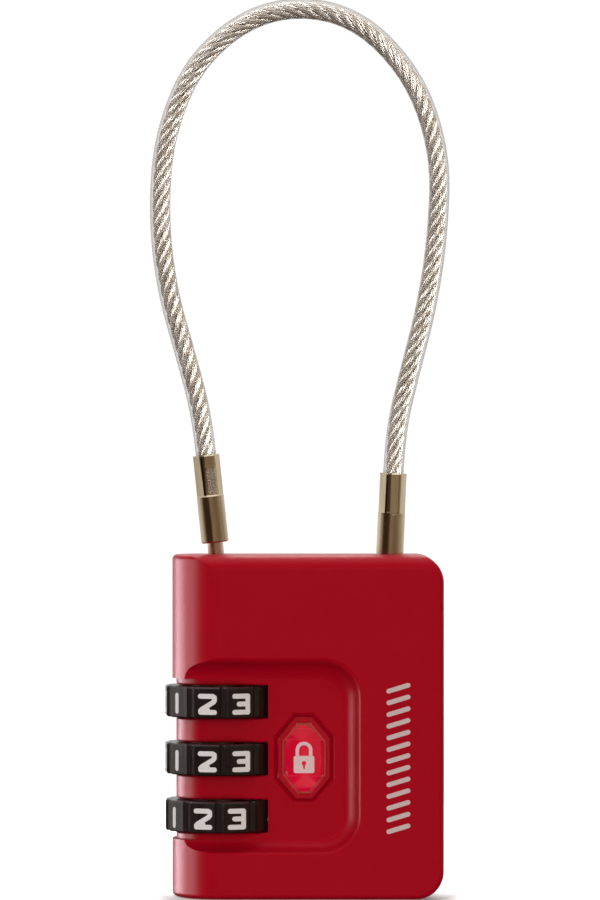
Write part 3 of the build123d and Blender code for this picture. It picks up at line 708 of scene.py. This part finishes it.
def padlock(x, y):
    bx, by = 0.0, -0.95
    hw, hh, r = 1.20, 1.00, 0.22
    q = np.maximum(np.abs(x - bx) - (hw - r), 0) ** 2 + np.maximum(np.abs(y - by) - (hh - r), 0) ** 2
    body = np.sqrt(q) - r
    ring = np.abs(np.hypot(x, y - 0.72) - 0.78) - 0.20
    ring = np.maximum(ring, 0.72 - y)
    legs = np.minimum(seg_dist(x, y, (-0.78, 0.72), (-0.78, -0.2)), seg_dist(x, y, (0.78, 0.72), (0.78, -0.2))) - 0.20
    hole = np.minimum(np.hypot(x, y + 0.80) - 0.27, seg_dist(x, y, (0, -0.8), (0, -1.35)) - 0.12)
    return np.maximum(np.minimum(np.minimum(body, ring), legs), -hole)


me = contour_plate(padlock, -1.6, 1.6, -2.4, 2.4, 0.045, -0.03, 0.014)
on_front(me, BX, BZ + 0.20, TOP, "badge_padlock_sign", pink)

# ------------------------------------------------------------------ printed side mark: a row of plain slanted bars
BAR_X0, BAR_X1, BAR_Z0, BAR_Z1 = 9.10, 12.00, 7.40, 25.40


def bars(x, y):
    d = None
    n = 13
    for i in range(n):
        c = (i - (n - 1) / 2) * 1.36
        e = seg_dist(x, y, (-1.12, c - 0.34), (1.12, c + 0.34)) - 0.27
        d = e if d is None else np.minimum(d, e)
    return d


me = contour_plate(bars, -1.7, 1.7, -9.4, 9.4, 0.06, -0.012, 0.016)
on_front(me, (BAR_X0 + BAR_X1) / 2, (BAR_Z0 + BAR_Z1) / 2, -5.50, "printed_slanted_bars", silver)

# ------------------------------------------------------------------ floor: a pale sheet that fades out into the white room
fl = Mat("studio_floor")
fl.set(Roughness=0.8, Specular_IOR_Level=0.1)
fl.p.inputs["Emission Color"].default_value = (1, 1, 1, 1)
fl.color(fl.ramp(fl.noise(40, 2.0, 0.5), [(0.3, (0.80, 0.80, 0.80)), (0.7, (0.83, 0.83, 0.83))]))
fxyz = fl.xyz()
back = fl.remap(fxyz["Y"], -0.006, 0.008, 0.0, 1.0, True)
side = fl.remap(fl.math("ABSOLUTE", fxyz["X"]), 0.0150, 0.0200, 0.0, 1.0, True)
fl.link(fl.math("MAXIMUM", back, side), fl.p.inputs["Emission Strength"])
fy = fl.math("SUBTRACT", fxyz["Y"], 0.055)
rad = fl.math("SQRT", fl.math("ADD", fl.math("MULTIPLY", fxyz["X"], fxyz["X"]), fl.math("MULTIPLY", fy, fy)))
fade = fl.remap(rad, 0.050, 0.120, 0.0, 1.0, True)
ftr = fl.t.nodes.new("ShaderNodeBsdfTransparent")
fmx = fl.t.nodes.new("ShaderNodeMixShader")
fl.link(fade, fmx.inputs[0])
fl.link(fl.p.outputs[0], fmx.inputs[1])
fl.link(ftr.outputs[0], fmx.inputs[2])
fl.link(fmx.outputs[0], fl.out.inputs["Surface"])
bm = bmesh.new()
prev = None
for r in (0.04, 0.08, 0.12, 0.16):
    ring = [bm.verts.new((r * math.cos(i * math.pi / 24), 0.055 + r * math.sin(i * math.pi / 24), 0.0)) for i in range(48)]
    if prev is None:
        bm.faces.new(ring)
    else:
        for i in range(48):
            k = (i + 1) % 48
            bm.faces.new((prev[i], ring[i], ring[k], prev[k]))
    prev = ring
me = bpy.data.meshes.new("studio_floor")
bm.to_mesh(me)
bm.free()
floor = bpy.data.objects.new("studio_floor", me)
scene.collection.objects.link(floor)
assign(floor, fl)
floor.location = (0, 0, -0.00005)
floor.visible_diffuse = False
floor.visible_glossy = False
floor.visible_shadow = False

# ------------------------------------------------------------------ world: white behind, bright at both sides, darker towards the camera
world = bpy.data.worlds.new("studio")
scene.world = world
world.use_nodes = True
wt = world.node_tree
for n in list(wt.nodes):
    wt.nodes.remove(n)


def wn(kind, **props):
    n = wt.nodes.new(kind)
    for k, v in props.items():
        setattr(n, k, v)
    return n


tc = wn("ShaderNodeTexCoord")
sep = wn("ShaderNodeSeparateXYZ")
wt.links.new(tc.outputs["Generated"], sep.inputs[0])
neg = wn("ShaderNodeMath", operation="MULTIPLY")
neg.inputs[1].default_value = -1
wt.links.new(sep.outputs["Y"], neg.inputs[0])
at = wn("ShaderNodeMath", operation="ARCTAN2")
wt.links.new(sep.outputs["X"], at.inputs[0])
wt.links.new(neg.outputs[0], at.inputs[1])
mr = wn("ShaderNodeMapRange")
for k, v in zip(("From Min", "From Max", "To Min", "To Max"), (-math.pi, math.pi, 0, 1)):
    mr.inputs[k].default_value = v
wt.links.new(at.outputs[0], mr.inputs["Value"])
ramp = wn("ShaderNodeValToRGB")
wt.links.new(mr.outputs[0], ramp.inputs["Fac"])


def az(deg):
    return (deg + 180) / 360


STOPS = [(-180, (0.9, 0.9, 0.9)), (-140, (0.9, 0.9, 0.9)), (-110, (0.85, 0.82, 0.78)), (-92, (0.58, 0.53, 0.46)), (-80, (0.42, 0.37, 0.31)),
         (-71, (0.045, 0.026, 0.014)), (-15, (0.045, 0.026, 0.014)), (-8, (0.36, 0.285, 0.20)), (0, (0.35, 0.275, 0.195)),
         (14, (0.28, 0.215, 0.15)), (40, (0.22, 0.165, 0.11)), (62, (0.30, 0.24, 0.17)), (95, (0.62, 0.56, 0.48)), (140, (0.85, 0.82, 0.78)),
         (180, (0.9, 0.9, 0.9))]
e = ramp.color_ramp.elements
while len(e) < len(STOPS):
    e.new(0.5)
SCALE = 3.0
for i, (d, c) in enumerate(STOPS):
    e[i].position = az(d)
    e[i].color = (*[x / SCALE for x in c], 1.0)
# overhead the room is bright
up = wn("ShaderNodeMapRange", interpolation_type="SMOOTHSTEP")
for k, v in zip(("From Min", "From Max", "To Min", "To Max"), (0.70, 1.0, 0, 1)):
    up.inputs[k].default_value = v
wt.links.new(sep.outputs["Z"], up.inputs["Value"])
mixc = wn("ShaderNodeMix", data_type="RGBA")
wt.links.new(up.outputs["Result"], mixc.inputs[0])
wt.links.new(ramp.outputs["Color"], mixc.inputs[6])
mixc.inputs[7].default_value = (1.5 / SCALE, 1.5 / SCALE, 1.5 / SCALE, 1)
down = wn("ShaderNodeMapRange", interpolation_type="SMOOTHSTEP")
for k, v in zip(("From Min", "From Max", "To Min", "To Max"), (-0.06, -0.50, 0, 1)):
    down.inputs[k].default_value = v
wt.links.new(sep.outputs["Z"], down.inputs["Value"])
mixd = wn("ShaderNodeMix", data_type="RGBA")
wt.links.new(down.outputs["Result"], mixd.inputs[0])
wt.links.new(mixc.outputs[2], mixd.inputs[6])
mixd.inputs[7].default_value = (0.05 / SCALE, 0.04 / SCALE, 0.03 / SCALE, 1)
bg_env = wn("ShaderNodeBackground")
bg_env.inputs["Strength"].default_value = SCALE
wt.links.new(mixd.outputs[2], bg_env.inputs["Color"])
bg_cam = wn("ShaderNodeBackground")
bg_cam.inputs["Color"].default_value = (1, 1, 1, 1)
bg_cam.inputs["Strength"].default_value = 1.05
lp = wn("ShaderNodeLightPath")
mixs = wn("ShaderNodeMixShader")
wt.links.new(lp.outputs["Is Camera Ray"], mixs.inputs[0])
wt.links.new(bg_env.outputs[0], mixs.inputs[1])
wt.links.new(bg_cam.outputs[0], mixs.inputs[2])
wo = wn("ShaderNodeOutputWorld")
wt.links.new(mixs.outputs[0], wo.inputs["Surface"])


def area(name, loc, target, size, power, color=(1, 1, 1), glossy=True, size_y=None):
    d = bpy.data.lights.new(name, "AREA")
    d.shape = "RECTANGLE"
    d.size = size
    d.size_y = size_y or size
    d.energy = power
    d.color = color
    ob = bpy.data.objects.new(name, d)
    scene.collection.objects.link(ob)
    ob.location = loc
    direction = Vector(target) - Vector(loc)
    ob.rotation_euler = direction.to_track_quat("-Z", "Y").to_euler()
    ob.visible_camera = False
    ob.visible_glossy = glossy
    return ob


MID = (0, 0, 0.03)
area("fill_front", (-0.16, -1.08, 0.32), MID, 0.38, 2.5, glossy=False)
area("fill_left_high", (-0.75, -0.35, 0.85), MID, 0.45, 0.7, glossy=False)
area("key_left", (-0.86, -0.16, 0.34), MID, 0.95, 1.9, size_y=0.36, glossy=False)
area("fill_low", (0.10, -1.08, -0.24), MID, 0.30, 3.5, glossy=False)


def only_for(light, names, extra=()):
    """Lets a lamp light only the named CAD nodes and pieces."""
    group = bpy.data.collections.new(light.name + "_receivers")
    for n in names:
        group.objects.link(nodes[n])
    for ob in extra:
        group.objects.link(ob)
    light.light_linking.receiver_collection = group
    light.visible_diffuse = False


only_for(area("gloss_left_red", (-0.83, 0.33, -0.06), MID, 0.62, 9.0, (0.95, 0.92, 1.0), size_y=0.18), ["front_shell", "rear_shell", "badge_plate"])
only_for(area("gloss_left_front", (-0.90, -0.30, -0.06), MID, 0.40, 5.0, size_y=0.18), ["front_shell", "rear_shell", "badge_plate"])
only_for(area("gloss_left_dials", (-0.86, -0.10, 0.34), MID, 0.95, 15.0, size_y=0.36), ["number_dial_top", "number_dial_middle", "number_dial_bottom"])
only_for(area("gloss_rope_right", (0.80, -0.50, 0.30), MID, 0.50, 7.5, size_y=0.50), [], [rope])
only_for(area("gloss_rope_left", (-0.62, -0.72, 0.34), MID, 0.34, 4.2, size_y=0.50), [], [rope])
only_for(area("gloss_above", (0.0, 0.45, 0.62), MID, 1.00, 6.5, size_y=0.40), ["front_shell", "rear_shell"])
